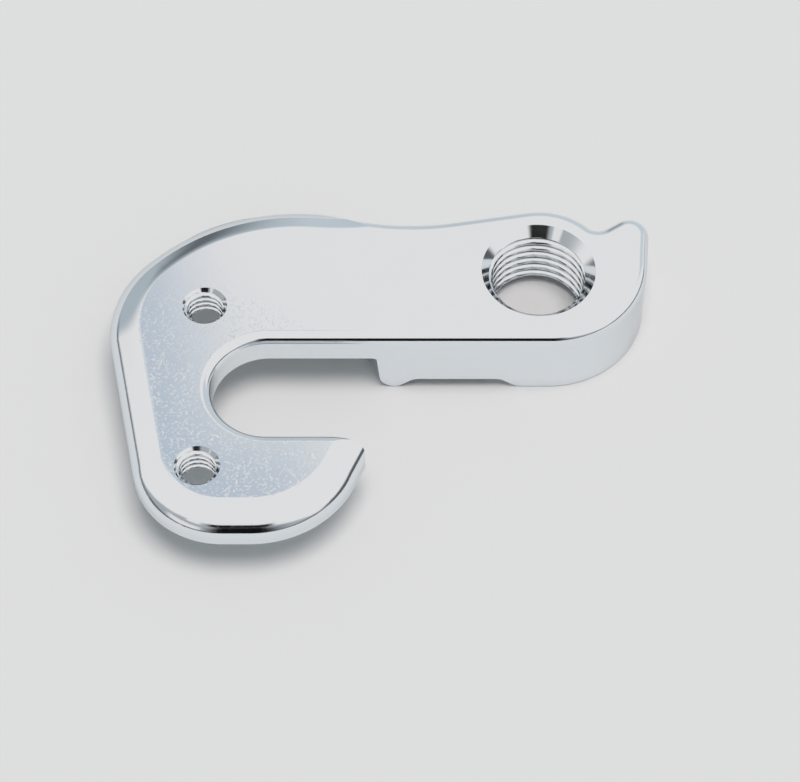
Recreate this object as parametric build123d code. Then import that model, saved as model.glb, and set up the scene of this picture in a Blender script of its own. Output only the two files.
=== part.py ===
from build123d import *
import math
import os

# Bicycle derailleur hanger, one piece of aluminium, in millimetres.
# Origin: derailleur thread axis, on the face that rests on the table.
# +X runs along the axle slot towards the thread, +Z points out of the show face.

# Plate thicknesses
boss_thickness = 8.0  # at the derailleur thread, the overall height
hook_thickness = 3.35  # thin plate round the axle slot

# Axle slot
axle_back = 25.85  # axle centre behind the thread axis, along X
axle_below = 13.52  # axle centre below the thread axis, along Y
slot_width = 10.7

# Countersinks on the show face
countersink_angle = 82.0  # degrees, wall to wall

# Derailleur thread, cut at its minor diameter
thread_minor = 8.92  # M10 x 1
thread_countersink = 1.05  # width of the countersink on the show face
thread_back_chamfer = 1.0

# Fixing threads, cut at their minor diameter
fixing_minor = 3.24  # M4 x 0.7
fixing_chamfer = 0.53  # width of the countersinks
fixing_behind = 6.25  # hole centres behind the axle centre
fixing_above = 9.25  # upper hole above the slot's centre line
fixing_below = 9.0  # lower hole below it

# Hook outline, measured from the axle centre to the straight tangents of its edge
hook_back = 14.05  # back edge at the level of the slot
back_lean = 11.1  # degrees off square
hook_below = 15.5  # bottom edge
hook_above = 22.0  # top edge
top_fall = 3.5  # degrees, the top edge's slope
shoulder_out = 19.65  # slanting shoulder, square to it
shoulder_slope = 45.0  # degrees
prong_reach = 10.0  # where the toe's outer edge would meet the slot
prong_slope = 66.0  # degrees, the toe's outer edge
lip_run = 2.85  # the slot's lower lip starts to fall this far short of there
lip_fall = 20.0  # degrees, the lip's slope at the toe

# Arm and boss outline
boss_radius = 7.5  # round the derailleur thread
arm_fall_start = 23.4  # where the upper edge starts to fall, back from the thread axis
arm_fall = 20.0  # degrees
arm_rise = 9.7  # degrees, from the waist up to the boss
notch_fall = 44.0  # degrees, from the boss down into the notch
notch_place = 5.8  # notch corner past the thread axis
horn_rise = 33.6  # degrees, from the notch up to the horn
end_reach = 10.52  # right-hand edge past the thread axis
end_lean = 4.4  # degrees off square

# Edges of the show face
edge_round = 1.0  # all round the arm and the slot
soft_width = 3.05  # broad soft edge round the outside of the hook, from the outline inwards
soft_wall = 1.0  # straight wall left below it
soft_crease = 2.5  # degrees, the faint crease where it leaves the flat
soft_nose = 1.4  # its tighter round above the wall
soft_run_off = 3.5  # how far it runs on past the toe

# Corner radii of the outline
toe_inner_round = 0.07  # left on the flat inside the toe's rounded edge
bottom_round = 10.5
heel_round = 8.7
back_round = 11.0
crown_round = 20.0
fall_round = 9.0
waist_round = 24.5
notch_round = 1.4
horn_round = 1.9
end_round = 9.6
round_share = 0.98  # most of a straight run that the rounds at its ends may take

# Underside: a step from the thin plate to two feet with a relief between them
step_back = 15.6  # top of the step at the arm's front, behind the thread axis
step_slant = 28.0  # degrees, the step and the relief run back and out at this slant
step_turn = 10.5  # behind the arm's front, where the step turns in again
turn_slant = 20.0  # degrees, its slant from there to the arm's upper edge
turn_round = 4.0
step_lean = 0.4  # how far the step's foot stands forward of its top
front_foot = 1.7  # length of the foot at the arm's front
relief_length = 11.4  # from foot to foot
relief_depth = 1.2
relief_ramp = 1.5  # length of each ramp out of the relief
step_inner_round = 0.4
step_outer_round = 1.4
relief_round = 1.5
foot_crease = 0.02  # the rounds under the feet stop this far short of level

axle_x = -axle_back
axle_y = -axle_below
lip_y = axle_y - slot_width / 2
front_y = axle_y + slot_width / 2
hook_under = boss_thickness - hook_thickness
toe_round = edge_round + toe_inner_round


def toward(angle):
    """Unit vector at an angle in degrees from +X."""
    return Vector(math.cos(math.radians(angle)), math.sin(math.radians(angle)))


def meet(point_a, angle_a, point_b, angle_b):
    """Where two lines cross, each given by a point and an angle in degrees."""
    start, along, across = Vector(point_a), toward(angle_a), toward(angle_b + 90)
    return start + along * ((Vector(point_b) - start).dot(across) / along.dot(across))


def fitted(points, radii):
    """Corner radii of an open polyline, each limited by the runs beside it."""
    runs = [(b - a).length for a, b in zip(points, points[1:])]
    tangents = [0.0]
    for before, corner, after, radius in zip(points, points[1:], points[2:], radii):
        turn = (corner - before).get_angle(after - corner)
        tangents.append(radius * math.tan(math.radians(turn / 2)))
    tangents.append(0.0)
    room = [min(1.0, round_share * run / (a + b)) for run, a, b in zip(runs, tangents, tangents[1:])]
    return [radius * min(a, b) for radius, a, b in zip(radii, room, room[1:])]


def rounded(points, radii):
    """Polyline with a round at each corner between its ends."""
    return FilletPolyline(*points, radius=fitted(points, radii))


# Corners of the outline, where its straight tangents cross
lip_end = Vector(axle_x, lip_y)
toe_line = Vector(axle_x + prong_reach, lip_y)
lip_corner = toe_line - Vector(lip_run, 0)
bottom_line = Vector(axle_x, axle_y - hook_below)
back_line = Vector(axle_x - hook_back, axle_y)
shoulder_line = Vector(axle_x, axle_y) + toward(shoulder_slope + 90) * shoulder_out
top_line = Vector(axle_x, axle_y + hook_above)
rise_line = toward(90 + arm_rise) * boss_radius
notch_line = toward(90 - notch_fall) * boss_radius
end_line = Vector(end_reach, 0)
front_line = Vector(axle_x, front_y)

toe = meet(lip_corner, -lip_fall, toe_line, prong_slope)
bottom_front = meet(toe_line, prong_slope, bottom_line, 0)
heel = meet(bottom_line, 0, back_line, 90 + back_lean)
back_top = meet(back_line, 90 + back_lean, shoulder_line, shoulder_slope)
crown = meet(shoulder_line, shoulder_slope, top_line, -top_fall)
fall = meet(top_line, -top_fall, Vector(-arm_fall_start, 0), 90)
waist = meet(fall, -arm_fall, rise_line, arm_rise)
boss = meet(rise_line, arm_rise, notch_line, -notch_fall)
notch = meet(notch_line, -notch_fall, Vector(notch_place, 0), 90)
horn = meet(notch, horn_rise, end_line, 90 - end_lean)
end_corner = meet(end_line, 90 - end_lean, front_line, 0)

# The lip's round fills the run that the toe's round leaves
toe_turn = 180 - prong_slope - lip_fall
toe_tangent = toe_round * math.tan(math.radians(toe_turn / 2))
lip_tangent = round_share * (toe - lip_corner).length - toe_tangent
lip_round = lip_tangent / math.tan(math.radians(lip_fall / 2))

outer_edge = rounded(
    [lip_end, lip_corner, toe, bottom_front, heel, back_top, crown, fall,
     waist, boss, notch, horn, end_corner, front_line],
    [lip_round, toe_round, bottom_round, heel_round, back_round, crown_round, fall_round,
     waist_round, boss_radius, notch_round, horn_round, end_round],
)
slot_end = ThreePointArc(front_line, Vector(axle_x - slot_width / 2, axle_y), lip_end)
plan = make_face(outer_edge.edges() + slot_end.edges())

# Blank with the edge of the show face rounded
hanger = extrude(plan, boss_thickness)
show_face = hanger.faces().sort_by(Axis.Z)[-1]
hanger = fillet(show_face.outer_wire().edges(), edge_round)

# Broad soft edge: a round cut that follows the hook and runs off straight at both ends
soft_path = rounded(
    [toe + toward(prong_slope) * soft_run_off, bottom_front, heel, back_top, crown,
     meet(top_line, -top_fall, waist, 90)],
    [bottom_round, heel_round, back_round, crown_round],
)
soft_path = Pos(0, 0, boss_thickness) * soft_path
soft_drop = hook_thickness - soft_wall
crease = math.radians(soft_crease)
inner = soft_nose - soft_width
soft_round = (inner**2 + soft_drop**2 - soft_nose**2) / (
    2 * (inner * math.sin(crease) + soft_drop * math.cos(crease) - soft_nose)
)
soft_start = Vector(-soft_width, 0)
soft_end = Vector(0, -soft_drop)
rise = Vector(math.sin(crease), math.cos(crease))
soft_centre = soft_start - rise * soft_round
nose_centre = soft_end - Vector(soft_nose, 0)
blend = (nose_centre - soft_centre).normalized()
blend_point = nose_centre + blend * soft_nose
soft_arc = ThreePointArc(
    soft_start, soft_centre + (rise + blend).normalized() * soft_round, blend_point
)
nose_arc = ThreePointArc(
    blend_point, nose_centre + (blend + Vector(1, 0)).normalized() * soft_nose, soft_end
)
clear = Vector(edge_round, edge_round)
soft_waste = Polyline(
    soft_end, (clear.X, soft_end.Y), (clear.X, clear.Y), (soft_start.X, clear.Y), soft_start
)
soft_section = make_face(soft_arc.edges() + nose_arc.edges() + soft_waste.edges())
start_plane = Plane(
    origin=soft_path @ 0,
    x_dir=toward(prong_slope - 90),
    z_dir=-toward(prong_slope),
)
hanger -= sweep(start_plane * soft_section, path=soft_path)

# Step: its side view cut away along a path that turns, leaving the thin plate
plan_size = plan.bounding_box().size
below = Vector(0, -boss_thickness)


def cutter(corners, radii):
    """Side view of a cut from below: its upper outline, closed underneath."""
    upper = rounded(corners, radii)
    lower = Polyline(corners[-1], corners[-1] + below, corners[0] + below, corners[0])
    return make_face(upper.edges() + lower.edges())


step_front = Vector(-step_back, front_y)
step_way = toward(90 + step_slant)
turn = step_front + step_way * (step_turn / step_way.Y)
step_path = rounded(
    [step_front - step_way * plan_size.Y, turn, turn + toward(90 - turn_slant) * plan_size.Y],
    [turn_round],
)
step_section = cutter(
    [Vector(plan_size.X, hook_under), Vector(0, hook_under), Vector(-step_lean, -foot_crease),
     Vector(-step_lean - front_foot, -foot_crease)],
    [step_inner_round, step_outer_round],
)
step_plane = Plane(origin=step_path @ 0, x_dir=toward(180 + step_slant), z_dir=step_way)
hanger -= sweep(step_plane * step_section, path=step_path)

# Relief between the feet, clear of the derailleur thread
relief_start = step_lean + front_foot - step_back
relief_end = relief_start + relief_length
relief_corners = [
    Vector(relief_start, -foot_crease), Vector(relief_start + relief_ramp, relief_depth),
    Vector(relief_end - relief_ramp, relief_depth), Vector(relief_end, -foot_crease),
]
foot_run = Vector(front_foot, 0)
relief_section = cutter(
    [relief_corners[0] - foot_run, *relief_corners, relief_corners[-1] + foot_run],
    [relief_round] * len(relief_corners),
)
relief_plane = Plane.XZ.offset(-front_y)
hanger -= extrude(relief_plane * relief_section, plan_size.Y, dir=step_way, both=True)


def tapped_hole(minor, top_chamfer, bottom_chamfer, bottom, top):
    """Bore at a thread's minor diameter, countersunk on top and chamfered at 45 degrees below."""
    radius = minor / 2
    depth = top_chamfer / math.tan(math.radians(countersink_angle / 2))
    half = Polyline(
        (0, bottom), (radius + bottom_chamfer, bottom), (radius, bottom + bottom_chamfer),
        (radius, top - depth), (radius + top_chamfer, top), (0, top), close=True,
    )
    return revolve(Plane.XZ * make_face(half.edges()), Axis.Z)


hanger -= tapped_hole(thread_minor, thread_countersink, thread_back_chamfer, 0, boss_thickness)
fixing_hole = tapped_hole(fixing_minor, fixing_chamfer, fixing_chamfer, hook_under, boss_thickness)
fixing_x = axle_x - fixing_behind
for fixing_y in (axle_y + fixing_above, axle_y - fixing_below):
    hanger -= Pos(fixing_x, fixing_y) * fixing_hole

os.makedirs("parts", exist_ok=True)
export_step(hanger, "parts/hanger.step")
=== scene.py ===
"""Bicycle derailleur hanger: the finished mesh with its threads, its aluminium, the floor and the light."""

import cmath
import math
from typing import NamedTuple

import bpy
import numpy as np
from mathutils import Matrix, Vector
from mathutils.geometry import delaunay_2d_cdt
from mathutils.kdtree import KDTree


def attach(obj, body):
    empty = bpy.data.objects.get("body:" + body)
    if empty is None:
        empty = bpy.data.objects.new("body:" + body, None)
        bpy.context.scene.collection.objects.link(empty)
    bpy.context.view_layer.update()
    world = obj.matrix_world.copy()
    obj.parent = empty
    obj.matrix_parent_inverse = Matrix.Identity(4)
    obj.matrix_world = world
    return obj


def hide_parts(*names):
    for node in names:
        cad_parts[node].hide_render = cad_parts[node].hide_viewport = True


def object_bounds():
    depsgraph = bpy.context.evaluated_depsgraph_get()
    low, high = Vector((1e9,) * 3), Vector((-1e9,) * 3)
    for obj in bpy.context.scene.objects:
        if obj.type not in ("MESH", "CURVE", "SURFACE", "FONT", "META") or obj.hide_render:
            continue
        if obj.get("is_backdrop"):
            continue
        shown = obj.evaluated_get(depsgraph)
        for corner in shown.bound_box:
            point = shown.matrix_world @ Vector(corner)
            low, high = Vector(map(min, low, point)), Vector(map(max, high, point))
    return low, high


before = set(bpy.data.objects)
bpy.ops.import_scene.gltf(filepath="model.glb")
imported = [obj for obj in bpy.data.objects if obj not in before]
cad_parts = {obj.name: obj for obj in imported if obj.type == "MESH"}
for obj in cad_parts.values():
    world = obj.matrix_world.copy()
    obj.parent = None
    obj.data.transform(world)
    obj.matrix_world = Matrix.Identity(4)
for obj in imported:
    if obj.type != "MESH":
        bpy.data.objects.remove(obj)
cad_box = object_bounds()

# Sizes of the part, in millimetres and degrees
boss_thickness = 8.0
hook_thickness = 3.35
axle_back = 25.85
axle_below = 13.52
slot_width = 10.7
fixing_behind = 6.25
fixing_above = 9.25
fixing_below = 9.0
hook_back = 14.05
back_lean = 11.1
hook_below = 15.5
hook_above = 22.0
top_fall = 3.5
shoulder_out = 19.65
shoulder_slope = 45.0
prong_reach = 10.0
prong_slope = 66.0
lip_run = 2.85
lip_fall = 20.0
boss_radius = 7.5
arm_fall_start = 23.4
arm_fall = 20.0
arm_rise = 9.7
notch_fall = 44.0
notch_place = 5.8
horn_rise = 33.6
end_reach = 10.52
end_lean = 4.4
edge_round = 1.0
soft_width = 3.05
soft_wall = 1.0
soft_crease = 2.5
soft_nose = 1.4
soft_run_off = 3.5
soft_leave = 25.0  # slope at which the soft edge's path leaves the arm
toe_round = 1.07
bottom_round = 10.5
heel_round = 8.7
back_round = 11.0
crown_round = 20.0
fall_round = 9.0
waist_round = 24.5
notch_round = 1.4
horn_round = 1.9
end_round = 9.6
round_share = 0.98
step_back = 15.6
step_slant = 28.0
step_turn = 10.5
turn_slant = 20.0
turn_round = 4.0
step_lean = 0.4
front_foot = 1.7
relief_length = 11.4
relief_depth = 1.2
relief_ramp = 1.5
step_inner_round = 0.4
step_outer_round = 1.4
relief_round = 1.5
foot_crease = 0.02
lower_break = 0.12  # broken lower edge, too small for the solid
countersink_angle = 82.0

# Mesh fineness
step_along = 0.3  # longest step along the outline
step_angle = math.radians(5)  # largest turn between two points
edge_rings = 11
soft_rings = 20
break_turns = (0, 30, 60, 90)  # rings of the broken lower edge
crease_tries = 401  # points across the rounded edge, between which its creases are found
step_near = 1.0  # reach of the lines along the step
relief_points = 81  # in each line along the relief
smooth_limit = 25.0  # largest bend that the underside shows as smooth
border_reach = 1.5 * lower_break  # border points this near to the outline belong to it
weld = 2e-4  # points of two patches that are nearer than this are one
touching = 1e-6
flush = 1e-9
tiny = 1e-12  # least divisor
millimetre = 0.001  # in the scene's metres

axle = complex(-axle_back, -axle_below)
lip_y = axle.imag - slot_width / 2
front_y = axle.imag + slot_width / 2
hook_under = boss_thickness - hook_thickness


class Thread(NamedTuple):
    """Radii, pitch and chamfer widths of a tapped hole in millimetres, and the fineness of its mesh."""

    minor: float
    major: float
    pitch: float
    top: float
    bottom: float
    points: int  # in one turn
    rise: float  # between two rows of points


# Tapped holes, each with its place and the level of its lower end
derailleur = Thread(minor=4.46, major=5.0, pitch=1.0, top=1.05, bottom=1.0, points=192, rise=0.05)
fixing = Thread(minor=1.62, major=2.0, pitch=0.7, top=0.53, bottom=0.53, points=112, rise=0.04)
holes = (
    (derailleur, 0j, 0.0),
    (fixing, axle + complex(-fixing_behind, fixing_above), hook_under),
    (fixing, axle + complex(-fixing_behind, -fixing_below), hook_under),
)

# Groove of a thread: shares of the pitch away from the crest, and the share of its depth at each
groove_places = (0.04, 0.2, 0.46)
groove_depths = (0, 0.2, 1)


def toward(angle):
    """Unit vector at an angle in degrees from +X, as a complex number."""
    return cmath.rect(1, math.radians(angle))


def cross(a, b):
    """Cross product of two vectors of the plan."""
    return (a.conjugate() * b).imag


def meet(point_a, angle_a, point_b, angle_b):
    """Where two lines cross, each given by a point and an angle in degrees."""
    along = toward(angle_a)
    other = toward(angle_b)
    return point_a + along * cross(point_b - point_a, other) / cross(along, other)


def rounded(points, radii):
    """Runs and arcs of an open polyline with a round at each corner between its ends."""
    lengths = [abs(b - a) for a, b in zip(points, points[1:])]
    ways = [(b - a) / length for a, b, length in zip(points, points[1:], lengths)]
    turns = [cmath.phase(b / a) for a, b in zip(ways, ways[1:])]
    reach = [0.0] + [radius * math.tan(abs(turn) / 2) for radius, turn in zip(radii, turns)] + [0.0]
    room = [min(1.0, round_share * length / (a + b)) for length, a, b in zip(lengths, reach, reach[1:])]
    pieces = []
    here = points[0]
    for i, turn in enumerate(turns):
        share = min(room[i], room[i + 1])
        radius = radii[i] * share
        start = points[i + 1] - ways[i] * reach[i + 1] * share
        side = 1j if turn > 0 else -1j
        pieces.append(("run", here, start))
        pieces.append(("arc", start + ways[i] * side * radius, start, turn))
        here = points[i + 1] + ways[i + 1] * reach[i + 1] * share
    pieces.append(("run", here, points[-1]))
    return pieces


def walk(pieces):
    """Points along runs and arcs, without the last, and the normal on the left of each."""
    places = []
    normals = []
    for kind, *piece in pieces:
        if kind == "run":
            start, end = piece
            count = math.ceil(abs(end - start) / step_along)
            share = np.arange(count) / count
            places.append(start + (end - start) * share)
            normals.append(np.full(count, 1j * (end - start) / abs(end - start)))
        else:
            centre, start, turn = piece
            radius = abs(start - centre)
            count = math.ceil(abs(turn) * max(radius / step_along, 1 / step_angle))
            spoke = (start - centre) * np.exp(1j * turn * np.arange(count) / count)
            places.append(centre + spoke)
            normals.append(-np.sign(turn) * spoke / radius)
    return np.concatenate(places), np.concatenate(normals)


def nearest(pieces, points):
    """Depth of points to the right of a path, with the normal and the length along it at their feet."""
    gap = np.full(points.shape, np.inf)
    normal = np.zeros(points.shape, complex)
    depth = np.zeros(points.shape)
    along = np.zeros(points.shape)
    done = 0.0
    for kind, *piece in pieces:
        if kind == "run":
            start, end = piece
            length = abs(end - start)
            way = (end - start) / length
            at = np.clip(((points - start) * way.conjugate()).real, 0, length)
            foot = start + way * at
            out = np.full(points.shape, 1j * way)
        else:
            centre, start, turn = piece
            radius = abs(start - centre)
            length = radius * abs(turn)
            middle = (start - centre) / radius * cmath.exp(0.5j * turn)
            swing = np.clip(np.angle((points - centre) / middle), -abs(turn) / 2, abs(turn) / 2)
            spoke = middle * np.exp(1j * swing)
            foot = centre + radius * spoke
            out = -np.sign(turn) * spoke
            at = length / 2 + np.sign(turn) * radius * swing
        away = points - foot
        closer = np.abs(away) < gap
        gap = np.where(closer, np.abs(away), gap)
        normal = np.where(closer, out, normal)
        depth = np.where(closer, -(away * out.conjugate()).real, depth)
        along = np.where(closer, done + at, along)
        done += length
    return depth, normal, along


# Corners of the outline, where its straight tangents cross
lip_end = complex(axle.real, lip_y)
toe_line = complex(axle.real + prong_reach, lip_y)
lip_corner = toe_line - lip_run
bottom_line = axle - 1j * hook_below
back_line = axle - hook_back
shoulder_line = axle + toward(shoulder_slope + 90) * shoulder_out
top_line = axle + 1j * hook_above
rise_line = toward(90 + arm_rise) * boss_radius
notch_line = toward(90 - notch_fall) * boss_radius
end_line = complex(end_reach, 0)
front_line = complex(axle.real, front_y)

toe = meet(lip_corner, -lip_fall, toe_line, prong_slope)
bottom_front = meet(toe_line, prong_slope, bottom_line, 0)
heel = meet(bottom_line, 0, back_line, 90 + back_lean)
back_top = meet(back_line, 90 + back_lean, shoulder_line, shoulder_slope)
crown = meet(shoulder_line, shoulder_slope, top_line, -top_fall)
fall = meet(top_line, -top_fall, complex(-arm_fall_start, 0), 90)
waist = meet(fall, -arm_fall, rise_line, arm_rise)
boss = meet(rise_line, arm_rise, notch_line, -notch_fall)
notch = meet(notch_line, -notch_fall, complex(notch_place, 0), 90)
horn = meet(notch, horn_rise, end_line, 90 - end_lean)
end_corner = meet(end_line, 90 - end_lean, front_line, 0)

toe_tangent = toe_round * math.tan(math.radians((180 - prong_slope - lip_fall) / 2))
lip_tangent = round_share * abs(toe - lip_corner) - toe_tangent
lip_round = lip_tangent / math.tan(math.radians(lip_fall / 2))

outline = rounded(
    [lip_end, lip_corner, toe, bottom_front, heel, back_top, crown, fall,
     waist, boss, notch, horn, end_corner, front_line],
    [lip_round, toe_round, bottom_round, heel_round, back_round, crown_round, fall_round,
     waist_round, boss_radius, notch_round, horn_round, end_round],
)
outline.append(("arc", axle, front_line, math.pi))
soft_end = meet(top_line, -top_fall, waist, 90)
soft_path = rounded(
    [toe + toward(prong_slope) * soft_run_off, bottom_front, heel, back_top, crown,
     soft_end, soft_end + toward(soft_leave) * slot_width],
    [bottom_round, heel_round, back_round, crown_round, waist_round],
)

# Broad soft edge of the hook: an arc that leaves the flat at a crease, and a tighter one above the wall
soft_drop = hook_thickness - soft_wall
soft_rise = toward(90 - soft_crease)
inner = soft_nose - soft_width
soft_round = (inner**2 + soft_drop**2 - soft_nose**2) / (
    2 * (inner * soft_rise.real + soft_drop * soft_rise.imag - soft_nose)
)
soft_centre = -soft_width - soft_rise * soft_round
nose_centre = complex(-soft_nose, -soft_drop)
blend = cmath.phase(nose_centre - soft_centre)
blend_depth = soft_nose * (1 - math.cos(blend))


def soft_depth(points):
    """Depth of points inside the soft edge's path, without end where that doesn't reach them."""
    depth, _, along = nearest(soft_path, points)
    return np.where(along > 0, depth, np.inf)


def edge_slope(depth):
    """Outward part of the rounded edge's normal at a depth inside the outline."""
    return 1 - np.clip(depth / edge_round, 0, 1)


def edge_level(depth):
    """Height of the rounded edge at a depth inside the outline."""
    return boss_thickness - edge_round * (1 - np.sqrt(1 - edge_slope(depth)**2))


def soft_slope(depth):
    """Outward part of the soft edge's normal at a depth inside its path."""
    nose = 1 - depth / soft_nose
    return np.clip(np.where(depth < blend_depth, nose, (-depth - soft_centre.real) / soft_round), 0, 1)


def soft_level(depth):
    """Height of the soft edge at a depth inside its path."""
    up = np.sqrt(1 - soft_slope(depth)**2)
    nose = nose_centre.imag + soft_nose * up
    level = boss_thickness + np.where(depth < blend_depth, nose, soft_centre.imag + soft_round * up)
    return np.where(depth < soft_width, level, boss_thickness)


def show_level(points):
    """Height of the show face, and which of flat, rounded and soft it is."""
    levels = np.array([
        np.full(points.shape, boss_thickness),
        edge_level(nearest(outline, points)[0]),
        soft_level(soft_depth(points)),
    ])
    levels[1:] = np.where(levels[1:] > boss_thickness - flush, np.inf, levels[1:])
    return levels.min(axis=0), levels.argmin(axis=0)


def lift(plan, height):
    """Points or vectors in space, from those of the plan and their height."""
    return np.stack([plan.real, plan.imag, np.broadcast_to(height, plan.shape)], axis=-1)


def show_normal(points, kind):
    """Normals of the flat, rounded or soft surface at each point."""
    normal = lift(np.zeros(points.shape, complex), 1.0)
    for index, path, slope_at in ((1, outline, edge_slope), (2, soft_path, soft_slope)):
        depth, out, _ = nearest(path, points)
        slope = slope_at(depth)
        bent = lift(out * slope, np.sqrt(1 - slope**2))
        normal = np.where((kind == index)[..., None], bent, normal)
    return normal


def profile(corners, radii):
    """Upper outline of a cut from below, as points in order of their first coordinate."""
    places, _ = walk(rounded(corners, radii))
    places = np.append(places, corners[-1])
    return places[np.argsort(places.real)]


# Underside: the step's and the relief's outlines, from the thin plate to the feet
step_front = complex(-step_back, front_y)
step_way = toward(90 + step_slant)
turn_at = step_front + step_way * (step_turn / step_way.imag)
far_off = axle_back * 2
step_path = rounded(
    [step_front - step_way * far_off, turn_at, turn_at + toward(90 - turn_slant) * far_off],
    [turn_round],
)
step_section = profile(
    [complex(far_off, hook_under), complex(0, hook_under), complex(-step_lean, -foot_crease),
     complex(-step_lean - front_foot, -foot_crease)],
    [step_inner_round, step_outer_round],
)
relief_start = step_lean + front_foot - step_back
relief_end = relief_start + relief_length
relief_section = profile(
    [complex(relief_start - front_foot, -foot_crease), complex(relief_start, -foot_crease),
     complex(relief_start + relief_ramp, relief_depth), complex(relief_end - relief_ramp, relief_depth),
     complex(relief_end, -foot_crease), complex(relief_end + front_foot, -foot_crease)],
    [relief_round] * 4,
)


def lower_level(points):
    """Height of the underside."""
    from_step = -nearest(step_path, points)[0]
    from_relief = points.real - (points.imag - front_y) * step_way.real / step_way.imag
    step = np.interp(from_step, step_section.real, step_section.imag)
    relief = np.interp(from_relief, relief_section.real, relief_section.imag)
    return np.maximum(np.maximum(step, relief), 0)


def circle(centre, radius, count):
    """Points of a circle."""
    return centre + radius * np.exp(2j * math.pi * np.arange(count) / count)


def face_plan(edge, inset, rims, lines):
    """Triangles of a face between its edge, at an inset, and the holes' rims, with lines laid into it."""
    loops = [edge] + [circle(place, rim, size.points) for (size, place, _), rim in zip(holes, rims)]
    edges = []
    first = 0
    for index, line in enumerate(loops + lines):
        ids = list(range(first, first + len(line)))
        edges += zip(ids, ids[1:])
        if index < len(loops):
            edges.append((ids[-1], ids[0]))
        first += len(line)
    points = [Vector((p.real, p.imag)) for p in np.concatenate(loops + lines)]
    found = delaunay_2d_cdt(points, edges, [], 0, touching, False)
    places = np.array([complex(v.x, v.y) for v in found[0]])
    faces = np.array(found[2])
    middles = places[faces].mean(axis=1)
    inside = nearest(outline, middles)[0] > inset
    for (size, place, _), rim in zip(holes, rims):
        inside &= np.abs(middles - place) > rim * math.cos(math.pi / size.points)
    return places, faces[inside]


def border(places, faces):
    """The outer border of a triangulation, as places in order along the outline."""
    edges = np.concatenate([faces[:, [0, 1]], faces[:, [1, 2]], faces[:, [2, 0]]])
    _, back, count = np.unique(np.sort(edges, axis=1), axis=0, return_inverse=True, return_counts=True)
    ids = np.unique(edges[count[back.ravel()] == 1])
    depth, _, along = nearest(outline, places[ids])
    outer = depth < border_reach
    return places[ids[outer]][np.argsort(along[outer])]


def area_normals(verts, faces):
    """Normals of triangles, as long as twice their areas."""
    a, b, c = verts[faces.T]
    return np.cross(b - a, c - a)


def smooth(verts, faces, limit):
    """Corner normals of triangles, averaged with the neighbours that lie within a limit in degrees."""
    flat = area_normals(verts, faces)
    unit = flat / np.maximum(np.linalg.norm(flat, axis=1), tiny)[:, None]
    least = math.cos(math.radians(limit))
    users = [[] for _ in verts]
    for index, face in enumerate(faces):
        for corner in face:
            users[corner].append(index)
    normals = np.zeros(faces.shape + (3,))
    for index, face in enumerate(faces):
        for place, corner in enumerate(face):
            near = [other for other in users[corner] if unit[other] @ unit[index] > least]
            normals[index, place] = flat[near or [index]].sum(axis=0)
    return normals


def strip(upper, upper_along, lower, lower_along):
    """Triangles of the closed band between two loops, whose points have a length along the outline."""
    count_a = len(upper)
    count_b = len(lower)
    faces = []
    a = b = 0
    total = max(upper_along.max(), lower_along.max()) + step_along
    while a < count_a or b < count_b:
        next_a = upper_along[a + 1] if a + 1 < count_a else total + (a + 1 - count_a)
        next_b = lower_along[b + 1] if b + 1 < count_b else total + (b + 1 - count_b)
        if a < count_a and (next_a <= next_b or b >= count_b):
            faces.append((a % count_a, (a + 1) % count_a, count_a + b % count_b))
            a += 1
        else:
            faces.append((a % count_a, count_a + (b + 1) % count_b, count_a + b % count_b))
            b += 1
    return np.concatenate([upper, lower]), np.array(faces)


def show_face():
    """Mesh of the show face with its normals, and its border."""
    places, normals = walk(outline)

    # Rings that follow the rounded edge, where there is no soft one, and the soft edge
    on_soft = np.flatnonzero(soft_depth(places) < touching)
    bare_count = len(places) - (on_soft[-1] - on_soft[0]) + 1
    bare = np.roll(np.arange(len(places)), -on_soft[-1])[:bare_count]
    lines = []
    for ring in range(1, edge_rings + 1):
        inset = edge_round * (1 - math.cos(math.pi / 2 * ring / edge_rings))
        lines.append(places[bare] - normals[bare] * inset)
    soft_places, soft_normals = walk(soft_path)
    for tilt in np.linspace(0, cmath.phase(soft_rise), soft_rings + 1)[1:]:
        nose = nose_centre.real + soft_nose * math.cos(tilt)
        inset = nose if tilt < blend else soft_centre.real + soft_round * math.cos(tilt)
        lines.append(soft_places + soft_normals * inset)

    # Creases where the soft edge runs out into the rounded one, at both ends of the bare stretch
    insets = edge_round * np.linspace(0, 1, crease_tries)
    rays = places[bare][:, None] - normals[bare][:, None] * insets
    higher = edge_level(insets) > soft_level(soft_depth(rays))
    changes = higher[:, 1:] != higher[:, :-1]
    for half in np.split(np.arange(len(bare)), [len(bare) // 2]):
        crossed = half[changes[half].any(axis=1)]
        lines.append(rays[crossed, changes[crossed].argmax(axis=1)])

    rims = [size.minor + size.top for size, _, _ in holes]
    plan, faces = face_plan(places, 0, rims, [line for line in lines if len(line) > 1])
    levels, _ = show_level(plan)
    _, kinds = show_level(plan[faces].mean(axis=1))
    corner_kinds = np.repeat(kinds[:, None], 3, axis=1)
    return (lift(plan, levels), faces, show_normal(plan[faces], corner_kinds)), border(plan, faces)


def underside():
    """Mesh of the underside with its normals, and its border."""
    places, normals = walk(outline)
    step_places, step_normals = walk(step_path)
    offsets = step_section.real[(step_section.real < step_near) & (step_section.imag > 0)]
    lines = [step_places + step_normals * offset for offset in offsets]
    run = np.linspace(-1, 1, relief_points) * axle_back * step_way
    offsets = relief_section.real[relief_section.imag > 0]
    lines += [complex(offset, front_y) + run for offset in offsets]
    rims = [size.minor + size.bottom for size, _, _ in holes]
    plan, faces = face_plan(places - normals * lower_break, lower_break, rims, lines)
    faces = faces[:, ::-1]
    verts = lift(plan, lower_level(plan))
    return (verts, faces, smooth(verts, faces, smooth_limit)), border(plan, faces)


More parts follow.
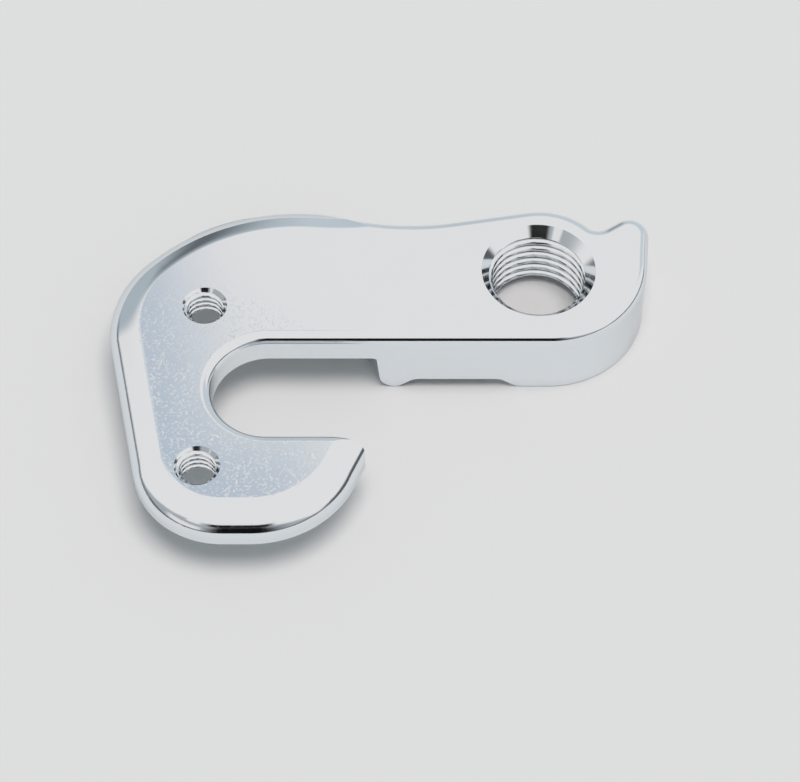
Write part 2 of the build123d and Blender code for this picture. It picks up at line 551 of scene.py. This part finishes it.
def walls(brim, foot):
    """Meshes of the wall and the broken lower edge, between the two faces' borders."""
    depth, out, along = nearest(outline, foot)
    level = lower_level(foot)
    rings = []
    for turn in break_turns:
        way = toward(turn)
        plan = foot + out * (depth - lower_break * (1 - way.real))
        rings.append((lift(plan, level + lower_break * (1 - way.imag)), lift(out * way.real, -way.imag)))
    meshes = []
    for (upper, upper_normal), (lower, lower_normal) in zip(rings, rings[1:]):
        verts, faces = strip(upper, along, lower, along)
        meshes.append((verts, faces, np.concatenate([upper_normal, lower_normal])[faces]))
    _, brim_out, brim_along = nearest(outline, brim)
    verts, faces = strip(lift(brim, show_level(brim)[0]), brim_along, rings[0][0], along)
    meshes.append((verts, faces, lift(np.concatenate([brim_out, out]), 0.0)[faces]))
    return meshes


def thread_radius(size, bottom, angle, level):
    """Radius of a tapped hole that runs from a bottom to the show face, with a chamfer at each end."""
    turn = level / size.pitch - angle / (2 * math.pi)
    off_crest = np.abs((turn + 0.5) % 1 - 0.5)
    groove = np.interp(off_crest, groove_places, groove_depths) * (size.major - size.minor)
    upper = size.top - (boss_thickness - level) * math.tan(math.radians(countersink_angle / 2))
    lower = bottom + size.bottom - level
    return size.minor + np.maximum(np.maximum(groove, upper), lower)


def tapped_hole(size, centre, bottom):
    """Mesh of a tapped hole, with its normals."""
    rows = math.ceil((boss_thickness - bottom) / size.rise) + 1
    turns = 2 * math.pi * np.arange(size.points) / size.points
    angle, level = np.meshgrid(turns, np.linspace(bottom, boss_thickness, rows))
    radius = thread_radius(size, bottom, angle, level)

    # Normals from the slopes along and around the hole, measured just inside its ends
    inner = np.clip(level, bottom + size.rise / 8, boss_thickness - size.rise / 8)
    nudge = size.rise / 4
    by_level = (thread_radius(size, bottom, angle, inner + nudge)
                - thread_radius(size, bottom, angle, inner - nudge)) / (2 * nudge)
    turn = nudge / radius
    by_angle = (thread_radius(size, bottom, angle + turn, inner)
                - thread_radius(size, bottom, angle - turn, inner)) / (2 * nudge)
    spoke = np.exp(1j * angle)
    normal = lift(-spoke * (1 - 1j * by_angle), by_level).reshape(-1, 3)

    verts = lift(centre + radius * spoke, level).reshape(-1, 3)
    ids = np.arange(angle.size).reshape(angle.shape)
    following = np.roll(ids, -1, axis=1)
    low, high = ids[:-1].ravel(), ids[1:].ravel()
    low_next, high_next = following[:-1].ravel(), following[1:].ravel()
    faces = np.concatenate([np.stack([low, low_next, high_next], 1), np.stack([low, high_next, high], 1)])
    return verts, faces, normal[faces]


def join(meshes):
    """One mesh of several: points that meet are joined, and faces turned to agree with their normals."""
    verts = np.concatenate([mesh[0] for mesh in meshes])
    starts = np.cumsum([0] + [len(mesh[0]) for mesh in meshes])
    faces = np.concatenate([mesh[1] + start for mesh, start in zip(meshes, starts)])
    normals = np.concatenate([mesh[2] for mesh in meshes])
    tree = KDTree(len(verts))
    for index, vert in enumerate(verts):
        tree.insert(vert, index)
    tree.balance()
    joined = np.array([min(hit[1] for hit in tree.find_range(vert, weld)) for vert in verts])
    faces = joined[faces]
    whole = (faces[:, 0] != faces[:, 1]) & (faces[:, 1] != faces[:, 2]) & (faces[:, 2] != faces[:, 0])
    faces = faces[whole]
    normals = normals[whole]
    wrong = (area_normals(verts, faces) * normals.sum(axis=1)).sum(axis=1) < 0
    faces[wrong] = faces[wrong][:, ::-1]
    normals[wrong] = normals[wrong][:, ::-1]
    normals /= np.maximum(np.linalg.norm(normals, axis=2, keepdims=True), tiny)
    used, faces = np.unique(faces, return_inverse=True)
    return verts[used], faces.reshape(-1, 3), normals


def build_hanger():
    """One closed mesh of the hanger, in metres, with exact normals."""
    show, brim = show_face()
    under, foot = underside()
    bores = [tapped_hole(*hole) for hole in holes]
    verts, faces, normals = join([show, under] + walls(brim, foot) + bores)
    mesh = bpy.data.meshes.new("hanger_finished")
    mesh.from_pydata((verts * millimetre).tolist(), [], faces.tolist())
    mesh.polygons.foreach_set("use_smooth", np.ones(len(faces), bool))
    mesh.normals_split_custom_set(normals.reshape(-1, 3).tolist())
    mesh.update()
    piece = bpy.data.objects.new("hanger_finished", mesh)
    bpy.context.scene.collection.objects.link(piece)
    return piece


class Nodes:
    """Short calls for the nodes of a material or a world."""

    def __init__(self, owner):
        owner.use_nodes = True
        self.tree = owner.node_tree

    def fill(self, node, inputs):
        """Links or sets a node's inputs, by name or number."""
        for key, value in inputs.items():
            if isinstance(value, bpy.types.NodeSocket):
                self.tree.links.new(value, node.inputs[key])
            else:
                node.inputs[key].default_value = value

    def change(self, name, inputs):
        """Links or sets the inputs of a node that is there from the start, and gives its outputs."""
        self.fill(self.tree.nodes[name], inputs)
        return self.tree.nodes[name].outputs

    def add(self, kind, inputs, **settings):
        """Adds a node with its settings and inputs, and gives its outputs."""
        node = self.tree.nodes.new(kind)
        for name, value in settings.items():
            setattr(node, name, value)
        self.fill(node, inputs)
        return node.outputs

    def maths(self, operation, *values):
        """Takes one operation along two or more values. A single value stays as it is."""
        total = values[0]
        for value in values[1:]:
            total = self.add("ShaderNodeMath", {0: total, 1: value}, operation=operation)[0]
        return total

    def apart(self, a, b):
        """How far two values are apart."""
        return self.add("ShaderNodeMath", {0: self.maths("SUBTRACT", a, b)}, operation="ABSOLUTE")[0]

    def ramp(self, value, low, high):
        """Smooth step of a value from low to high, which may run downwards."""
        ends = {"From Min": low, "From Max": high}
        if low > high:
            ends = {"From Min": high, "From Max": low, "To Min": 1.0, "To Max": 0.0}
        step = {"Value": value, **ends}
        return self.add("ShaderNodeMapRange", step, interpolation_type="SMOOTHSTEP")["Result"]

    def mix(self, share, under, over):
        """A colour laid over another by a share."""
        under, over = [(*colour, 1) if isinstance(colour, tuple) else colour for colour in (under, over)]
        return self.add("ShaderNodeMix", {0: share, 6: under, 7: over}, data_type="RGBA")[2]


# Finish of the aluminium: its colours, the scales of its noises and the heights of its marks
dull = (0.845, 0.89, 0.925)
bright = (0.865, 0.91, 0.945)
# Painted shade: colour laid into the thread roots, in place of the shade under each crest
painted_root_shade = (0.12, 0.125, 0.13)
root_shade_fade = 0.1
rim_fade = 0.05
noise_roughness = 0.6
cloud_scale = 260.0
cloud_shift = 9.0
speck_scale = 3400.0
scratch_scales = (700.0, 1100.0)
haze_scale = 9000.0
speck_height = 1.8
scratch_height = 1.7
haze_height = 0.15
speck_cut = (0.565, 0.66)  # levels of the noise at which a speck begins and is full
scratch_cut = (0.56, 0.62)
scratch_width = 0.025
gap_scale = 1.7  # scale of the gaps between scratches, against their own
gap_shift = 5.0
mark_depth = 3e-6  # metres of a mark of height 1
worn_centre = axle - 7 - 6.5j
worn_inner = 12.0
worn_outer = 19.0
worn_loss = 0.94  # share of the marks that is missing away from the worn flat
level_cut = (0.99, 0.9995)
slope_share = 0.15  # share of the marks on all but the level faces
smoothest = 0.06
roughest = 0.1


def aluminium():
    """Bright tumbled aluminium, with fine grain and short scratches."""
    material = bpy.data.materials.new("polished_aluminium")
    nodes = Nodes(material)
    maths = nodes.maths
    place = nodes.add("ShaderNodeTexCoord", {})["Object"]

    def noise(scale, detail, shift=0.0):
        inputs = {"Vector": place, "W": shift, "Scale": scale, "Detail": detail}
        inputs["Roughness"] = noise_roughness
        return nodes.add("ShaderNodeTexNoise", inputs, noise_dimensions="4D")["Fac"]

    def scratch(scale, shift):
        """Short stretches of the contour lines of a noise."""
        line = nodes.ramp(nodes.apart(noise(scale, 1.0, shift), 0.5), scratch_width, 0.0)
        stretch = nodes.ramp(noise(scale * gap_scale, 1.0, shift + gap_shift), *scratch_cut)
        return maths("MULTIPLY", line, stretch)

    def beyond(centre, inner, outer):
        """Steps from 0 to 1 between two radii, in millimetres, around a point of the plan."""
        flat = nodes.add("ShaderNodeVectorMath", {0: place, 1: (1, 1, 0)}, operation="MULTIPLY")[0]
        middle = (centre.real * millimetre, centre.imag * millimetre, 0)
        away = nodes.add("ShaderNodeVectorMath", {0: flat, 1: middle}, operation="DISTANCE")["Value"]
        return nodes.ramp(away, inner * millimetre, outer * millimetre)

    # Marks: strongest on the flat of the hook, and none in the countersinks, which are cut
    specks = maths("MULTIPLY", nodes.ramp(noise(speck_scale, 2.0), *speck_cut), speck_height)
    scratches = [scratch(scale, float(shift)) for shift, scale in enumerate(scratch_scales, 1)]
    haze = maths("MULTIPLY", noise(haze_scale, 2.0), haze_height)
    marks = maths("ADD", specks, maths("MULTIPLY", maths("ADD", *scratches), scratch_height), haze)
    lost = maths("MULTIPLY", beyond(worn_centre, worn_inner, worn_outer), worn_loss)
    normal = nodes.add("ShaderNodeNewGeometry", {})["Normal"]
    upward = nodes.add("ShaderNodeSeparateXYZ", {0: normal})[2]
    level = maths("MULTIPLY", nodes.ramp(upward, *level_cut), 1 - slope_share)
    shares = [maths("SUBTRACT", 1.0, lost), maths("ADD", level, slope_share)]
    for size, centre, _ in holes:
        rim = size.minor + size.top
        shares.append(beyond(centre, rim, rim + rim_fade))
    height = maths("MULTIPLY", marks, *shares)
    bump = nodes.add("ShaderNodeBump", {"Strength": 1.0, "Distance": mark_depth, "Height": height})

    # Colour, with painted shade in the roots of the threads below their countersinks, standing in for the
    # shade under each crest
    cloud = noise(cloud_scale, 3.0, cloud_shift)
    metal = nodes.mix(cloud, dull, bright)
    height_of = nodes.add("ShaderNodeSeparateXYZ", {0: place})[2]
    for size, centre, _ in holes:
        mouth = boss_thickness - size.top / math.tan(math.radians(countersink_angle / 2))
        root = maths(
            "MULTIPLY",
            beyond(centre, (size.minor + size.major) / 2, size.major),
            beyond(centre, size.major + root_shade_fade, size.major),
            nodes.ramp(height_of, mouth * millimetre, (mouth - root_shade_fade) * millimetre),
        )
        # Painted shade: the thread roots are darkened in the base colour
        metal = nodes.mix(root, metal, painted_root_shade)
    rough = nodes.add("ShaderNodeMapRange", {"Value": cloud, "To Min": smoothest, "To Max": roughest})
    nodes.change("Principled BSDF", {
        "Base Color": metal,
        "Metallic": 1.0,
        "Roughness": rough["Result"],
        "Specular Tint": (0.8, 0.8, 0.8, 1),
        "Normal": bump["Normal"],
    })
    return material


hanger = build_hanger()
hanger.data.materials.append(aluminium())
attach(hanger, "root")
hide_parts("hanger")

# Floor, a hair below the feet
bpy.ops.mesh.primitive_plane_add(size=20, location=(0, 0, -1e-5))
floor = bpy.context.object
floor.name = "floor"
paper = bpy.data.materials.new("pale_paper")
Nodes(paper).change("Principled BSDF", {
    "Base Color": (0.757, 0.76, 0.762, 1),
    "Roughness": 0.9,
    "Specular IOR Level": 0,
})
floor.data.materials.append(paper)
floor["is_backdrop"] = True

# Colours of the studio
ceiling = (0.847, 0.81, 0.79)
window = (0.82, 0.79, 0.77)
far_wall = (0.59, 0.64, 0.67)
far_corner = (0.44, 0.485, 0.515)
far_post = (0.13, 0.145, 0.155)
near_wall = (0.4, 0.42, 0.44)
pale_blue = (0.57, 0.62, 0.68)
blue = (0.49, 0.55, 0.625)
right_dusk = (0.1, 0.105, 0.11)
left_dusk = (0.2, 0.21, 0.22)
near_dusk = (0.09, 0.09, 0.1)
near_dark = (0.03, 0.03, 0.03)
black = (0.006, 0.005, 0.005)
dome_light = (0.38, 0.413, 0.426, 1)


def studio():
    """A pale room with a softer grey far side and a dark side behind the camera."""
    world = bpy.data.worlds.new("studio")
    bpy.context.scene.world = world
    room = Nodes(world)
    way = room.add("ShaderNodeTexCoord", {})["Generated"]
    x, y, z = room.add("ShaderNodeSeparateXYZ", {0: way})
    far_turn = room.maths("ARCTAN2", x, y)  # from the far side, positive to the right
    minus_x, minus_y = [room.maths("MULTIPLY", part, -1.0) for part in (x, y)]
    near_turn = room.maths("ARCTAN2", minus_x, minus_y)  # from the near side, positive to the left

    def below(elevation, soft):
        """Share of the sky under an elevation in degrees, with a soft border above it."""
        return room.ramp(z, toward(elevation + soft).imag, toward(elevation).imag)

    def above(elevation, soft):
        """Share of the sky over an elevation in degrees, with a soft border below it."""
        return room.ramp(z, toward(elevation - soft).imag, toward(elevation).imag)

    def growing(turn, start, end):
        """Share of the sky that grows from one turn to another, in degrees."""
        return room.ramp(turn, math.radians(start), math.radians(end))

    def around(turn, middle, inner, outer):
        """Share of the sky within an angle on both sides of a direction, in degrees."""
        return growing(room.apart(turn, math.radians(middle)), outer, inner)

    def patch(turn, elevation, inner, outer):
        """Share of the sky within an angle of one direction, its turn counted from the far side."""
        side = toward(turn)
        rise = toward(elevation)
        middle = (side.imag * rise.real, side.real * rise.real, rise.imag)
        near = room.add("ShaderNodeVectorMath", {0: way, 1: middle}, operation="DOT_PRODUCT")["Value"]
        return room.ramp(near, toward(outer).real, toward(inner).real)

    layers = (
        # Far side, low down
        (far_wall, below(40, 9), around(far_turn, 18, 30, 40)),
        (far_corner, patch(-17, 3, 39, 49), growing(far_turn, 2, -8)),
        (far_post, below(32, 18), around(far_turn, -15, 0, 11)),
        # Far side, high up, where the flat mirrors it
        (pale_blue, around(far_turn, -17, 8, 12), above(54.5, 2), below(57.5, 2)),
        (blue, around(far_turn, -11, 1.8, 5), above(52.5, 2.5), below(60.5, 3)),
        (blue, around(far_turn, -6, 1.5, 4.5), above(57.3, 2), below(60.5, 2)),
        # Side behind the camera, with two windows
        (near_wall, patch(-159, -57, 86, 91)),
        (window, around(near_turn, 42, 13, 23), above(8, 4), below(15.5, 4)),
        (window, around(near_turn, 34, 6, 10), above(25.5, 1.5), below(33, 3)),
        # Dark along the horizon
        (near_dark, below(15, 9), around(near_turn, -2, 4, 34)),
        (near_dusk, below(3, 5), around(near_turn, 10, 66, 96)),
        (right_dusk, below(7, 4), around(far_turn, 88, 22, 40)),
        (left_dusk, below(3, 6), around(far_turn, -74, 12, 28)),
        # Black behind the camera, and a strip above it
        (black, below(22, 8), around(near_turn, -1, 4, 20)),
        (black, above(25.5, 1.5), below(31, 2), around(near_turn, 0.5, 13, 22)),
    )
    sky = ceiling
    for colour, *shares in layers:
        sky = room.mix(room.maths("MULTIPLY", *shares), sky, colour)

    # The camera and what mirrors see the studio in full; as a lamp it is a plain soft dome
    path = room.add("ShaderNodeLightPath", {})
    seen = room.maths("MAXIMUM", path["Is Camera Ray"], path["Is Glossy Ray"], path["Is Transmission Ray"])
    full = room.change("Background", {"Color": sky})[0]
    dome = room.add("ShaderNodeBackground", {"Color": dome_light})[0]
    both = room.add("ShaderNodeMixShader", {0: seen, 1: dome, 2: full})[0]
    room.change("World Output", {"Surface": both})


studio()
sun = bpy.data.lights.new("ceiling", "SUN")
sun.energy = 1.85
sun.angle = math.radians(31)
sun.color = (1.0, 0.944, 0.922)
lamp = bpy.data.objects.new("ceiling", sun)
lamp.rotation_euler = (math.radians(7), math.radians(6), 0)
lamp.visible_glossy = False
bpy.context.scene.collection.objects.link(lamp)

# Camera
view = bpy.data.cameras.new("camera")
view.sensor_width = 36
view.sensor_fit = "HORIZONTAL"
view.lens = 127.35
camera = bpy.data.objects.new("camera", view)
camera.location = (-0.0134, -0.16446, 0.22664)
camera.rotation_euler = (math.radians(34.5), 0, 0)
bpy.context.scene.collection.objects.link(camera)
bpy.context.scene.camera = camera
bpy.context.scene.view_settings.view_transform = "Standard"

boxes = (("cad", cad_box), ("visual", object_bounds()))
sizes = {name: [[float(x) for x in corner] for corner in box] for name, box in boxes}
